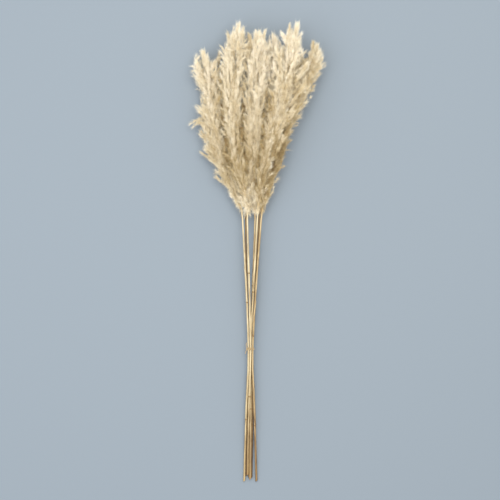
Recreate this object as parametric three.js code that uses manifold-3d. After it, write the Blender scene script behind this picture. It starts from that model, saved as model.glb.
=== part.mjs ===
// A bundle of seven dried pampas grass stalks, tied once round the stems and lying on a level surface.
// Millimetres, +Z up. +Y runs from the cut stem ends to the plume tips, and the surface is at Z = 0.
// While it is built, Y is measured from the cut ends; the last lines move the origin to the middle of
// the footprint.
import * as THREE from "three";
import Module from "manifold-3d";
import { mergeVertices } from "three/addons/utils/BufferGeometryUtils.js";

// ---- Driving dimensions -------------------------------------------------------------------------
const STEM_ROOT_RADIUS = 2.6; // at the cut end
const STEM_TOP_RADIUS = 2.1; // where the plume starts
const STEM_SIDES = 10;
const STEM_STEP = 45; // between the rings of a stem
const JOINT_SWELL = 0.25; // how far a stem's leaf joint stands out
const JOINT_HALF_LENGTH = 5;
const CUT_SLOPE = 0.55; // the stems are cut aslant

const LOW_Y = 160; // halfway from the cut ends to the tie
const TIE = new THREE.Vector3(-9.3, 319, 16); // middle of the stems where the twine holds them
const STEM_PITCH = 5.7; // stem to stem at the tie
const NECK_Y = 624; // just below the plumes

const TWINE_RADIUS = 0.8;
const TWINE_TURNS = 3;
const TWINE_LEAD = 1.75; // along the stems for each turn
const TWINE_SIDES = 8;
const TWINE_STEPS_PER_TURN = 24;
const TWINE_CLEARANCE = 0.45;
const KNOT_RADIUS = 2.2;
const KNOT_SIDE = (5 * Math.PI) / 6; // the knot sits on the upper left of the stems
// The twine's two tails, as steps away from the knot.
const UPPER_TAIL = [
  [-1.2, 5, 0.6],
  [-1.6, 10, -0.4],
  [-1, 15, -2.2],
];
const LOWER_TAIL = [
  [-1.8, -4, 0.2],
  [-3, -8, -1.4],
  [-3.4, -11.5, -4.2],
];

const PLUME_SIDES = 20;
const PLUME_STEP = 22; // between the sections of a plume
const PLUME_GAP = 2; // between neighbouring plumes
const JOIN_GAP = 0.4; // between a stem's top and its plume

// One row for each stalk. cut is [x, y, z] in the middle of the cut end; low is [x, z] at LOW_Y; slot
// is the stem's place in the hexagon at the tie, counted in columns across and in pitches up; neck is
// [x, z] at NECK_Y; joints are the Y of the leaf joints. The spine's rows are [y, x, z, half width] up
// the plume, and depth is its half thickness over its half width.
const STALKS = [
  {
    name: "far_left",
    cut: [-24.5, 0, 2.7],
    low: [-19.8, 11.8],
    slot: [-1, 0.5],
    neck: [-28, 30],
    joints: [150, 430],
    depth: 0.78,
    spine: [
      [652, -31, 30, 5],
      [700, -47, 28, 22],
      [750, -65, 26, 34],
      [810, -84, 26, 43],
      [870, -93, 27, 41],
      [930, -102, 28, 35],
      [990, -116, 28, 37],
      [1018, -120, 27, 27],
      [1034, -124, 26, 6],
    ],
  },
  {
    name: "left",
    cut: [-16, 16, 7.8],
    low: [-13.6, 15.6],
    slot: [0, 1],
    neck: [-17, 34],
    joints: [205, 500],
    depth: 1.5,
    spine: [
      [655, -17, 37, 5],
      [700, -23, 43, 15],
      [760, -37, 47, 21],
      [830, -50, 50, 23],
      [900, -56, 52, 24],
      [960, -54, 54, 27],
      [1020, -46, 56, 30],
      [1065, -40, 57, 21],
      [1096, -36, 57, 5],
    ],
  },
  {
    name: "centre_left",
    cut: [-18.7, 13, 2.7],
    low: [-15.6, 7.4],
    slot: [-1, -0.5],
    neck: [-21, 22],
    joints: [110, 395],
    depth: 1.45,
    spine: [
      [648, -16, 25, 5],
      [700, -11, 34, 17],
      [760, -8, 42, 23],
      [830, -3, 47, 26],
      [900, 2, 49, 27],
      [960, 6, 50, 27],
      [1020, 9, 51, 25],
      [1058, 10, 50, 17],
      [1078, 11, 49, 5],
    ],
  },
  {
    name: "centre",
    cut: [-13, 10, 2.7],
    low: [-10.3, 5.4],
    slot: [0, -1],
    neck: [1.5, 24],
    joints: [240, 470],
    depth: 1,
    spine: [
      [650, 0, 25, 5],
      [700, 5, 24, 18],
      [760, 14, 24, 28],
      [830, 23, 25, 32],
      [900, 32, 26, 33],
      [960, 39, 27, 32],
      [1020, 43, 27, 27],
      [1056, 45, 26, 16],
      [1074, 46, 25, 5],
    ],
  },
  {
    name: "centre_right",
    cut: [-10.2, 5, 7.8],
    low: [-9, 11.3],
    slot: [0, 0],
    neck: [6.5, 33],
    joints: [175, 455],
    depth: 1.05,
    spine: [
      [655, 8, 37, 5],
      [700, 15, 46, 16],
      [760, 28, 57, 24],
      [830, 46, 65, 29],
      [900, 62, 69, 32],
      [960, 75, 71, 32],
      [1020, 88, 71, 25],
      [1065, 97, 69, 16],
      [1100, 106, 67, 5],
    ],
  },
  {
    name: "back_right",
    cut: [-7.3, 8, 2.7],
    low: [-4.8, 6.9],
    slot: [1, -0.5],
    neck: [11, 23],
    joints: [90, 380],
    depth: 1,
    spine: [
      [650, 13, 24, 5],
      [700, 20, 22, 18],
      [760, 34, 22, 27],
      [830, 56, 23, 31],
      [900, 78, 24, 31],
      [960, 98, 25, 29],
      [1005, 112, 25, 22],
      [1030, 119, 25, 14],
      [1045, 123, 25, 5],
    ],
  },
  {
    name: "right",
    cut: [4.8, 0, 2.7],
    low: [0.4, 11.5],
    slot: [1, 0.5],
    neck: [15.5, 31],
    joints: [135, 350],
    depth: 1.15,
    spine: [
      [655, 19, 32, 5],
      [700, 28, 38, 16],
      [760, 42, 44, 22],
      [830, 64, 47, 25],
      [900, 96, 48, 28],
      [960, 121, 47, 32],
      [1000, 136, 45, 32],
      [1028, 143, 43, 19],
      [1050, 148, 42, 5],
    ],
  },
];

const straw = new THREE.MeshStandardMaterial({
  color: 0xd2b583,
  roughness: 0.62,
  metalness: 0,
});
const fluff = new THREE.MeshStandardMaterial({
  color: 0xe2d3ae,
  roughness: 0.95,
  metalness: 0,
});
const jute = new THREE.MeshStandardMaterial({
  color: 0xa98454,
  roughness: 0.9,
  metalness: 0,
});

// ---- Geometry helpers -----------------------------------------------------------------------------

// A smooth curve through rows of [y, a, b, ...] with y rising: the values at y, by a cubic between
// two rows whose slopes are those of the rows on either side.
function along(rows, y) {
  const last = rows.length - 1;
  let i = rows.findIndex((row) => row[0] > y) - 1;
  if (i < 0) i = y < rows[0][0] ? 0 : last - 1;
  const [from, to] = [rows[i], rows[i + 1]];
  const before = rows[Math.max(i - 1, 0)];
  const after = rows[Math.min(i + 2, last)];
  const span = to[0] - from[0];
  const t = THREE.MathUtils.clamp((y - from[0]) / span, 0, 1);
  return from.slice(1).map((start, k) => {
    const end = to[k + 1];
    const slopeIn = ((end - before[k + 1]) / (to[0] - before[0])) * span;
    const slopeOut = ((after[k + 1] - start) / (after[0] - from[0])) * span;
    const bend = 2 * (start - end) + slopeIn + slopeOut;
    return start + t * (slopeIn + t * (end - start - slopeIn - bend + t * bend));
  });
}

// Stations from start to end: both ends, and every multiple of step that is well between them.
function stations(start, end, step) {
  const made = [start];
  const first = Math.ceil((start + step / 3) / step) * step;
  for (let y = first; y < end - step / 3; y += step) made.push(y);
  made.push(end);
  return made;
}

// A closed skin over rings of points that all have the same number of corners, with flat ends.
function loft(rings) {
  const sides = rings[0].length;
  const middle = (ring) =>
    ring.reduce((sum, p) => sum.add(p), new THREE.Vector3()).divideScalar(sides);
  const points = [...rings.flat(), middle(rings[0]), middle(rings.at(-1))];
  const [startHub, endHub] = [points.length - 2, points.length - 1];
  const endRing = (rings.length - 1) * sides;
  const faces = [];
  for (let s = 0; s < sides; s++) {
    const next = (s + 1) % sides;
    for (let r = 0; r < endRing; r += sides) {
      faces.push(r + s, r + sides + s, r + next);
      faces.push(r + next, r + sides + s, r + sides + next);
    }
    faces.push(startHub, s, next);
    faces.push(endHub, endRing + next, endRing + s);
  }
  return new THREE.BufferGeometry().setFromPoints(points).setIndex(faces);
}

// A round tube of the given radius along a list of points.
function tube(path, radius, sides) {
  const curve = new THREE.CatmullRomCurve3(path);
  const circle = new THREE.Shape();
  circle.absarc(0, 0, radius, 0, 2 * Math.PI);
  return new THREE.ExtrudeGeometry(circle, {
    extrudePath: curve,
    steps: path.length - 1,
    curveSegments: sides / 2, // a circle gets two edges for each
    bevelEnabled: false,
  });
}

// ---- Stems ----------------------------------------------------------------------------------------

// The stem's middle line as rows of [y, x, z], from the cut end through the tie to the plume.
function stemLine(stalk) {
  const [cutX, cutY, cutZ] = stalk.cut;
  const [column, up] = stalk.slot;
  const [footY, footX, footZ] = stalk.spine[0];
  return [
    [cutY, cutX, cutZ],
    [LOW_Y, ...stalk.low],
    [TIE.y, TIE.x + (column * STEM_PITCH * Math.sqrt(3)) / 2, TIE.z + up * STEM_PITCH],
    [NECK_Y, ...stalk.neck],
    [footY, footX, footZ],
  ];
}

// The stem tapers evenly, and swells a little at each joint.
function stemRadius(stalk, y) {
  const share = (y - stalk.cut[1]) / (stalk.spine[0][0] - stalk.cut[1]);
  const swell = stalk.joints
    .map((joint) => Math.exp(-(((y - joint) / JOINT_HALF_LENGTH) ** 2)))
    .reduce((sum, one) => sum + one, 0);
  return THREE.MathUtils.lerp(STEM_ROOT_RADIUS, STEM_TOP_RADIUS, share) + JOINT_SWELL * swell;
}

function stemGeometry(stalk) {
  const line = stemLine(stalk);
  const [start, end] = [line[0][0], line.at(-1)[0]];
  const levels = stations(start, end, STEM_STEP).filter((y) =>
    stalk.joints.every((joint) => Math.abs(y - joint) > 2 * JOINT_HALF_LENGTH),
  );
  for (const joint of stalk.joints)
    levels.push(joint - 2 * JOINT_HALF_LENGTH, joint, joint + 2 * JOINT_HALF_LENGTH);
  levels.sort((a, b) => a - b);
  const rings = levels.map((y) => {
    const [x, z] = along(line, y);
    const radius = stemRadius(stalk, y);
    const slope = y === start ? CUT_SLOPE : 0;
    return Array.from({ length: STEM_SIDES }, (_, s) => {
      const turn = (2 * Math.PI * s) / STEM_SIDES;
      const [across, up] = [radius * Math.cos(turn), radius * Math.sin(turn)];
      return new THREE.Vector3(x + across, y + slope * (radius + up), z + up);
    });
  });
  return loft(rings);
}

// ---- Plumes ---------------------------------------------------------------------------------------

// A plume's section at y if nothing pressed on it: an ellipse with its middle on the spine.
function freeSection(stalk, y) {
  const [x, z, halfWidth] = along(stalk.spine, y);
  return { x, z, halfWidth, halfDepth: halfWidth * stalk.depth };
}

// How far the plume reaches from its spine in one direction. It stops at its own ellipse, at the
// surface that the bundle lies on, and at the plane where it meets each neighbour, which divides the
// distance between the two spines in the ratio of their sizes.
function reach(own, others, across, up) {
  let far = 1 / Math.hypot(across / own.halfWidth, up / own.halfDepth);
  if (up < 0) far = Math.min(far, own.z / -up);
  const size = Math.sqrt(own.halfWidth * own.halfDepth);
  for (const other of others) {
    const [dx, dz] = [other.x - own.x, other.z - own.z];
    const apart = Math.hypot(dx, dz);
    const towards = (across * dx + up * dz) / apart;
    if (towards <= 0) continue;
    const otherSize = Math.sqrt(other.halfWidth * other.halfDepth);
    const meet = (apart * size) / (size + otherSize) - PLUME_GAP / 2;
    far = Math.min(far, meet / towards);
  }
  return far;
}

function plumeGeometry(stalk) {
  const start = stalk.spine[0][0] + JOIN_GAP;
  const end = stalk.spine.at(-1)[0];
  const rings = stations(start, end, PLUME_STEP).map((y) => {
    const own = freeSection(stalk, y);
    const others = STALKS.filter((other) => {
      const [foot, tip] = [other.spine[0][0], other.spine.at(-1)[0]];
      return other !== stalk && y > foot - PLUME_STEP && y < tip + PLUME_GAP;
    }).map((other) => freeSection(other, y));
    return Array.from({ length: PLUME_SIDES }, (_, s) => {
      const turn = (2 * Math.PI * (s + 0.5)) / PLUME_SIDES;
      const [across, up] = [Math.cos(turn), Math.sin(turn)];
      const far = reach(own, others, across, up);
      return new THREE.Vector3(own.x + far * across, y, own.z + far * up);
    });
  });
  return loft(rings);
}

// ---- Twine ----------------------------------------------------------------------------------------

// Where the twine's middle runs when it presses on the outermost stem in the direction of turn: the
// turns are drawn tight, so they follow the outline of the stems, and they climb evenly along them.
function twinePoint(turn) {
  const stemAtTie = THREE.MathUtils.lerp(STEM_ROOT_RADIUS, STEM_TOP_RADIUS, TIE.y / NECK_Y);
  const off = stemAtTie + TWINE_CLEARANCE + TWINE_RADIUS;
  const corner = ((Math.floor((3 * turn) / Math.PI) + 0.5) * Math.PI) / 3;
  const climb = (turn - KNOT_SIDE) / (2 * Math.PI) - TWINE_TURNS / 2;
  return new THREE.Vector3(
    TIE.x + STEM_PITCH * Math.cos(corner) + off * Math.cos(turn),
    TIE.y + TWINE_LEAD * climb,
    TIE.z + STEM_PITCH * Math.sin(corner) + off * Math.sin(turn),
  );
}

// The wound turns, the knot over their two ends and the two tails, as one body.
async function twineGeometry() {
  const wasm = await Module();
  wasm.setup();
  const solid = (geometry) => {
    const bare = geometry.index ? geometry.toNonIndexed() : geometry.clone();
    bare.deleteAttribute("normal");
    bare.deleteAttribute("uv");
    const merged = mergeVertices(bare, 1e-3);
    return new wasm.Manifold(
      new wasm.Mesh({
        numProp: 3,
        vertProperties: merged.attributes.position.array,
        triVerts: new Uint32Array(merged.index.array),
      }),
    );
  };
  const steps = TWINE_TURNS * TWINE_STEPS_PER_TURN;
  const route = Array.from({ length: steps + 1 }, (_, i) =>
    twinePoint(KNOT_SIDE + (2 * Math.PI * i) / TWINE_STEPS_PER_TURN),
  );
  const outward = new THREE.Vector3(Math.cos(KNOT_SIDE), 0, Math.sin(KNOT_SIDE));
  const knotAt = route[0].clone().add(route.at(-1)).divideScalar(2).addScaledVector(outward, 0.9);
  const knot = new THREE.SphereGeometry(KNOT_RADIUS, 10, 8);
  knot.scale(0.85, 1.6, 0.85).translate(...knotAt);
  const tail = (offsets) =>
    tube(
      [knotAt, ...offsets.map((offset) => knotAt.clone().add(new THREE.Vector3(...offset)))],
      TWINE_RADIUS,
      TWINE_SIDES,
    );
  const made = solid(tube(route, TWINE_RADIUS, TWINE_SIDES))
    .add(solid(knot))
    .add(solid(tail(UPPER_TAIL)))
    .add(solid(tail(LOWER_TAIL)))
    .getMesh();
  return new THREE.BufferGeometry()
    .setAttribute("position", new THREE.BufferAttribute(made.vertProperties, 3))
    .setIndex(new THREE.BufferAttribute(made.triVerts, 1));
}

// ---- The bundle -----------------------------------------------------------------------------------

function named(name, geometry, material) {
  const mesh = new THREE.Mesh(geometry, material);
  mesh.name = name;
  return mesh;
}

const bundle = new THREE.Group();
for (const stalk of STALKS) {
  bundle.add(named("stem_" + stalk.name, stemGeometry(stalk), straw));
  bundle.add(named("plume_" + stalk.name, plumeGeometry(stalk), fluff));
}
bundle.add(named("twine_tie", await twineGeometry(), jute));

const box = new THREE.Box3().setFromObject(bundle);
const middle = box.getCenter(new THREE.Vector3());
bundle.position.set(-middle.x, -middle.y, -box.min.z);

export default bundle;
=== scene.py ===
"""A hand-tied bundle of dried pampas grass, lying on a level surface and seen from straight above.

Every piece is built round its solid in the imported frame. A stem follows the middle line of its solid,
a plume fills the envelope of its solid with a tree of branches and their hairs, and the twine is
wound round the stems where they pass through it. Lengths are in metres unless a name says mm.
"""

import logging
from dataclasses import dataclass, field
from enum import Enum

import bpy
import numpy as np
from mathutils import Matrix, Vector


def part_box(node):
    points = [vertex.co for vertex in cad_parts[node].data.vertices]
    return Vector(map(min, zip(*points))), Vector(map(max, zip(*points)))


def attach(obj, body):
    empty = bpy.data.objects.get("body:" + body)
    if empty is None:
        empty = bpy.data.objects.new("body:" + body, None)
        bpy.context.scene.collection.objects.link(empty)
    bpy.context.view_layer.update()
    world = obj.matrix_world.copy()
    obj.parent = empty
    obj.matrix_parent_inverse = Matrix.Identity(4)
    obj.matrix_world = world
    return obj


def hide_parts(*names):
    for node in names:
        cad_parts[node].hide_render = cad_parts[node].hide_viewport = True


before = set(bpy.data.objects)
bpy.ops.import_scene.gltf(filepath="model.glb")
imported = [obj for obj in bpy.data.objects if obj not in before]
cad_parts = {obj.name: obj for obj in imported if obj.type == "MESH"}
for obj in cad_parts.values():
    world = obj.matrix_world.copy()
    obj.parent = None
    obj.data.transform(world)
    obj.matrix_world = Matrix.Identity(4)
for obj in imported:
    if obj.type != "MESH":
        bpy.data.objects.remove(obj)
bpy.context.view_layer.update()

Array = np.ndarray
log = logging.getLogger("pampas")

MM = 0.001
MAP = "OFBake"  # the name of the UV map that every piece carries and its finish reads
AROUND = 2.0  # as a tint, it stands for the way round the tube
TUBE_FOOT, TUBE_TIP = 0.01, 0.99  # a tube's first and last rings on the map
RIND_TOP = 0.97  # how far up the map a stem's rind goes
TUBE_CAP = 0.004  # width on the map of the fan that closes a tube
GOLDEN_TURN = np.pi * (3 - np.sqrt(5))
TOWARDS_TIP = (0.0, 1.0, 0.0)
DIRECTIONS = 48  # across a plume, in which its envelope is read
MULTIPLY = {"data_type": "RGBA", "blend_type": "MULTIPLY"}  # settings of a node that tints


# ---- Small helpers ----------------------------------------------------------------------------------


def linear(hex_colour: str) -> tuple[float, float, float, float]:
    """Turns an sRGB hex colour into linear light.

    Args:
        hex_colour: six hex digits, such as "e4d7bb".

    Returns:
        Linear red, green and blue, and an alpha of 1.
    """
    parts = np.array([int(hex_colour[i : i + 2], 16) for i in (0, 2, 4)]) / 255
    light = np.where(parts <= 0.04045, parts / 12.92, ((parts + 0.055) / 1.055) ** 2.4)
    return (*light.tolist(), 1.0)


def unit(vectors: Array) -> Array:
    """Scales each vector along the last axis to a length of 1."""
    return vectors / np.maximum(np.linalg.norm(vectors, axis=-1, keepdims=True), 1e-12)


def square_to(vectors: Array, axes: Array) -> Array:
    """What is left of each vector, at length 1, once its share along its axis is taken away."""
    return unit(vectors - (vectors * axes).sum(-1, keepdims=True) * axes)


def wrapped(turn: Array) -> Array:
    """The same directions, as angles from half a turn below 0 to half a turn above it."""
    return (turn + np.pi) % (2 * np.pi) - np.pi


def smooth_step(x: Array) -> Array:
    """Rises from 0 to 1 with level ends: three times the square of x less twice its cube."""
    x = np.clip(x, 0, 1)
    return x * x * (3 - 2 * x)


def add_node(
    tree: bpy.types.NodeTree,
    kind: str,
    settings: dict[str, object] | None = None,
    inputs: dict[str, object] | None = None,
) -> bpy.types.Node:
    """Adds one node with its settings, values and links.

    Args:
        tree: the material's or world's node tree.
        kind: the node's type name.
        settings: the node's own properties.
        inputs: for each input by name or number, an output socket to link or a value to set.

    Returns:
        The new node.
    """
    node = tree.nodes.new(kind)
    for name, value in (settings or {}).items():
        setattr(node, name, value)
    for name, value in (inputs or {}).items():
        if isinstance(value, bpy.types.NodeSocket):
            tree.links.new(value, node.inputs[name])
        else:
            node.inputs[name].default_value = value
    return node


def set_ramp(node: bpy.types.Node, stops: tuple[tuple[float, str], ...]) -> bpy.types.Node:
    """Gives a colour ramp its stops, each a place from 0 to 1 and an sRGB hex colour."""
    elements = node.color_ramp.elements
    while len(elements) < len(stops):
        elements.new(0.5)
    for element, (place, colour) in zip(elements, stops):
        element.position = place
        element.color = linear(colour)
    return node


@dataclass
class Skin:
    """Triangles and quads as arrays: corners of faces, and each corner's place on the map."""

    points: Array  # (p, 3)
    faces: Array  # (f, 3) or (f, 4), indices into points
    places: Array  # (f, corners, 2)
    smooth: bool = True

    def joined(self, other: "Skin") -> "Skin":
        """This skin and another as one. Both have faces with the same number of corners."""
        return Skin(
            np.concatenate([self.points, other.points]),
            np.concatenate([self.faces, other.faces + len(self.points)]),
            np.concatenate([self.places, other.places]),
            self.smooth,
        )

    def triangles(self) -> "Skin":
        """The same skin with each quad cut in two."""
        if self.faces.shape[1] == 3:
            return self
        first, second = [0, 1, 2], [0, 2, 3]
        return Skin(
            self.points,
            np.concatenate([self.faces[:, first], self.faces[:, second]]),
            np.concatenate([self.places[:, first], self.places[:, second]]),
            self.smooth,
        )


def make_piece(name: str, skin: Skin, material: bpy.types.Material) -> bpy.types.Object:
    """Puts a skin into the scene as one piece of the bundle.

    Args:
        name: the piece's name.
        skin: its faces.
        material: its finish.

    Returns:
        The new object, at the origin, riding on the bundle's one body.
    """
    mesh = bpy.data.meshes.new(name)
    corners = skin.faces.shape[1]
    mesh.vertices.add(len(skin.points))
    mesh.vertices.foreach_set("co", skin.points.astype(np.float32).ravel())
    mesh.loops.add(skin.faces.size)
    mesh.loops.foreach_set("vertex_index", skin.faces.astype(np.int32).ravel())
    mesh.polygons.add(len(skin.faces))
    starts = np.arange(len(skin.faces), dtype=np.int32) * corners
    mesh.polygons.foreach_set("loop_start", starts)
    mesh.update(calc_edges=True)
    layer = mesh.uv_layers.new(name=MAP, do_init=False)
    layer.uv.foreach_set("vector", skin.places.astype(np.float32).ravel())
    mesh.polygons.foreach_set("use_smooth", np.full(len(skin.faces), skin.smooth))
    mesh.validate()
    mesh.materials.append(material)
    piece = bpy.data.objects.new(name, mesh)
    bpy.context.scene.collection.objects.link(piece)
    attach(piece, "root")
    log.info("%s: %d faces", name, len(mesh.polygons))
    return piece


def read_rings(node: str, least: int) -> tuple[list[Array], Array, Array]:
    """Reads the rings of corners that a solid has square to Y.

    Corners count as one ring when their Y agrees to a fifth of a millimetre. The middle of a ring is
    half-way between its lowest and highest X and Z.

    Args:
        node: the solid's name.
        least: corners that a ring has at least, which leaves out what a slanting end adds.

    Returns:
        The rings, each as (corners, 3) with no corner twice, their values of Y, and their middles
        as X and Z.
    """
    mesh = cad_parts[node].data
    found = np.empty(len(mesh.vertices) * 3, np.float32)
    mesh.vertices.foreach_get("co", found)
    points = np.unique(np.round(found.reshape(-1, 3) / (0.05 * MM)), axis=0) * 0.05 * MM
    level = np.round(points[:, 1] / (0.2 * MM)).astype(int)
    rings = [points[level == one] for one in np.unique(level)]
    rings = [ring for ring in rings if len(ring) >= least]
    middles = np.array([(ring.min(0) + ring.max(0)) / 2 for ring in rings])[:, [0, 2]]
    return rings, np.array([ring[:, 1].mean() for ring in rings]), middles


# ---- Finishes ---------------------------------------------------------------------------------------


class Finish:
    """What the finishes share: one shader, with inputs that each finish works out in its own way."""

    name: str

    def inputs(self, tree: bpy.types.NodeTree) -> dict[str, object]:
        """Adds the finish's own nodes and gives the shader's inputs."""
        raise NotImplementedError

    def build(self) -> bpy.types.Material:
        """Makes the material."""
        material = bpy.data.materials.new(self.name)
        material.use_nodes = True
        tree = material.node_tree
        tree.nodes.clear()
        shader = add_node(tree, "ShaderNodeBsdfPrincipled", inputs=self.inputs(tree))
        add_node(tree, "ShaderNodeOutputMaterial", inputs={"Surface": shader.outputs["BSDF"]})
        return material


@dataclass(frozen=True)
class PampasSilk(Finish):
    """Silky hairs of a dried pampas plume, air-dried: soft, matt and pale, with painted shade at the
    root.

    The map's first number is the hair's tint from brown to cream, which carries its own tone and the
    painted shade deep in and between the plumes, and its second runs along the hair. A sheen gives the
    eye the halo of light that fine fibres scatter.
    """

    name: str = "pampas_silk_air_dried"
    shades: tuple[tuple[float, str], ...] = (
        (0.0, "7d6540"),
        (0.2, "a48d60"),
        (0.4, "c7b58b"),
        (0.6, "e1d5b8"),
        (0.8, "f1ead5"),
        (1.0, "f7f1e2"),
    )
    root_painted_shade: str = "e0cca6"
    root_strength: float = 0.45  # of the painted root shade, at the root
    root_share: float = 0.6  # of the hair, over which it fades

    def inputs(self, tree: bpy.types.NodeTree) -> dict[str, object]:
        """Adds the silk's colours and gives the shader's inputs."""
        place = add_node(tree, "ShaderNodeUVMap", {"uv_map": MAP})
        parts = add_node(tree, "ShaderNodeSeparateXYZ", inputs={"Vector": place.outputs["UV"]})
        ramp = add_node(tree, "ShaderNodeValToRGB", inputs={"Fac": parts.outputs["X"]})
        set_ramp(ramp, self.shades)
        # Painted shade: the foot of each hair is darkened to stand for the shade deep in its tuft.
        fade = {"From Max": self.root_share, "To Min": self.root_strength, "To Max": 0.0}
        foot = add_node(tree, "ShaderNodeMapRange", inputs={"Value": parts.outputs["Y"], **fade})
        mixed = add_node(
            tree,
            "ShaderNodeMix",
            MULTIPLY,
            {0: foot.outputs["Result"], 6: ramp.outputs["Color"], 7: linear(self.root_painted_shade)},
        )
        return {
            "Base Color": mixed.outputs[2],
            "Roughness": 0.85,
            "Specular IOR Level": 0.25,
            "Sheen Weight": 0.12,
            "Sheen Roughness": 0.6,
            "Sheen Tint": linear("fbf4e2"),
        }


@dataclass(frozen=True)
class PanicleFibre(Finish):
    """Thin branches inside a plume, dried: satin straw, pale where they end and tan at the axis."""

    name: str = "panicle_fibre_dried"
    inner: str = "9c7f4e"
    outer: str = "d8c498"

    def inputs(self, tree: bpy.types.NodeTree) -> dict[str, object]:
        """Adds the fibre's colours and gives the shader's inputs."""
        place = add_node(tree, "ShaderNodeUVMap", {"uv_map": MAP})
        parts = add_node(tree, "ShaderNodeSeparateXYZ", inputs={"Vector": place.outputs["UV"]})
        ramp = add_node(tree, "ShaderNodeValToRGB", inputs={"Fac": parts.outputs["X"]})
        set_ramp(ramp, ((0.0, self.inner), (1.0, self.outer)))
        return {"Base Color": ramp.outputs["Color"], "Roughness": 0.7, "Specular IOR Level": 0.3}


@dataclass(frozen=True)
class DryStraw(Finish):
    """Rind of a dried grass stem: satin straw with fine lengthwise ribs and brown weathering.

    The map's first number goes once round the stem and its second runs along it up to RIND_TOP. The
    strip above that is for the joints, which dry to a brown ring.
    """

    name: str
    light: str = "d2c39e"
    middle: str = "b6a27a"
    dark: str = "7a6038"
    foot: str = "c4ae8a"  # tints the stem towards its cut end
    foot_share: float = 0.45  # of the stem, over which that fades
    joint: str = "b59c78"  # tints a joint
    length: float = 650 * MM
    girth: float = 2 * np.pi * 2.4 * MM
    rib_mm: tuple[float, float] = (0.7, 60.0)  # a pair of ribs, across and along: a silky grain
    streak_mm: tuple[float, float] = (2.2, 40.0)  # a weathered streak

    def inputs(self, tree: bpy.types.NodeTree) -> dict[str, object]:
        """Adds the rind's colours and ribs and gives the shader's inputs."""
        place = add_node(tree, "ShaderNodeUVMap", {"uv_map": MAP})
        parts = add_node(tree, "ShaderNodeSeparateXYZ", inputs={"Vector": place.outputs["UV"]})
        patterns = []
        for (across, along), detail, rough in ((self.streak_mm, 5.0, 0.62), (self.rib_mm, 2.0, 0.5)):
            scale = (self.girth / MM / across, self.length / MM / along, 1.0)
            laid = add_node(
                tree, "ShaderNodeMapping", inputs={"Vector": place.outputs["UV"], "Scale": scale}
            )
            noise = {"Vector": laid.outputs["Vector"], "Scale": 1.0, "Detail": detail, "Roughness": rough}
            pattern = add_node(tree, "ShaderNodeTexNoise", {"noise_dimensions": "2D"}, noise)
            patterns.append(pattern.outputs["Fac"])
        weather, ribs = patterns
        ramp = add_node(tree, "ShaderNodeValToRGB", inputs={"Fac": weather})
        set_ramp(ramp, ((0.28, self.dark), (0.44, self.middle), (0.6, self.light)))
        contrast = {"From Min": 0.3, "From Max": 0.7, "To Min": 0.78}
        grain = add_node(tree, "ShaderNodeMapRange", inputs={"Value": ribs, **contrast})
        fade = {"From Max": self.foot_share, "To Min": 1.0, "To Max": 0.0}
        low = add_node(tree, "ShaderNodeMapRange", inputs={"Value": parts.outputs["Y"], **fade})
        above = {0: parts.outputs["Y"], 1: RIND_TOP + 0.005}
        at_joint = add_node(tree, "ShaderNodeMath", {"operation": "GREATER_THAN"}, above)
        colour = ramp.outputs["Color"]
        tints = (
            (1.0, grain.outputs["Result"]),
            (low.outputs["Result"], linear(self.foot)),
            (at_joint.outputs["Value"], linear(self.joint)),
        )
        for share, tint in tints:
            mixed = add_node(tree, "ShaderNodeMix", MULTIPLY, {0: share, 6: colour, 7: tint})
            colour = mixed.outputs[2]
        bump = add_node(
            tree,
            "ShaderNodeBump",
            inputs={"Height": ribs, "Strength": 0.35, "Distance": 0.15 * MM},
        )
        return {"Base Color": colour, "Roughness": 0.5, "Normal": bump.outputs["Normal"]}


@dataclass(frozen=True)
class JuteTwine(Finish):
    """Jute, spun and plied: matt golden-brown fibre, with darker flecks along its lay."""

    name: str = "jute_twine_plied"
    light: str = "c9b287"
    dark: str = "80653c"
    fleck_mm: tuple[float, float] = (0.75, 1.5)  # across a ply and along it: three fibres wide
    ply_mm: tuple[float, float] = (2.8, 170.0)  # round one ply, and along its turns

    def inputs(self, tree: bpy.types.NodeTree) -> dict[str, object]:
        """Adds the twine's colours and gives the shader's inputs."""
        place = add_node(tree, "ShaderNodeUVMap", {"uv_map": MAP})
        scale = (self.ply_mm[0] / self.fleck_mm[0], self.ply_mm[1] / self.fleck_mm[1], 1.0)
        lay = add_node(tree, "ShaderNodeMapping", inputs={"Vector": place.outputs["UV"], "Scale": scale})
        noise = {"Vector": lay.outputs["Vector"], "Scale": 1.0, "Detail": 3.0}
        flecks = add_node(tree, "ShaderNodeTexNoise", {"noise_dimensions": "2D"}, noise)
        ramp = add_node(tree, "ShaderNodeValToRGB", inputs={"Fac": flecks.outputs["Fac"]})
        set_ramp(ramp, ((0.32, self.dark), (0.62, self.light)))
        return {
            "Base Color": ramp.outputs["Color"],
            "Roughness": 0.92,
            "Sheen Weight": 0.3,
            "Specular IOR Level": 0.2,
        }


@dataclass(frozen=True)
class PaintedFloor(Finish):
    """Matt painted board: one even pale blue-grey that lets the cream plumes stand out."""

    name: str = "painted_floor_matt"
    colour: str = "7d8790"

    def inputs(self, tree: bpy.types.NodeTree) -> dict[str, object]:
        """Gives the shader's inputs, which need no nodes."""
        return {"Base Color": linear(self.colour), "Roughness": 0.95, "Specular IOR Level": 0.1}


# ---- Surfaces ---------------------------------------------------------------------------------------


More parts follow.
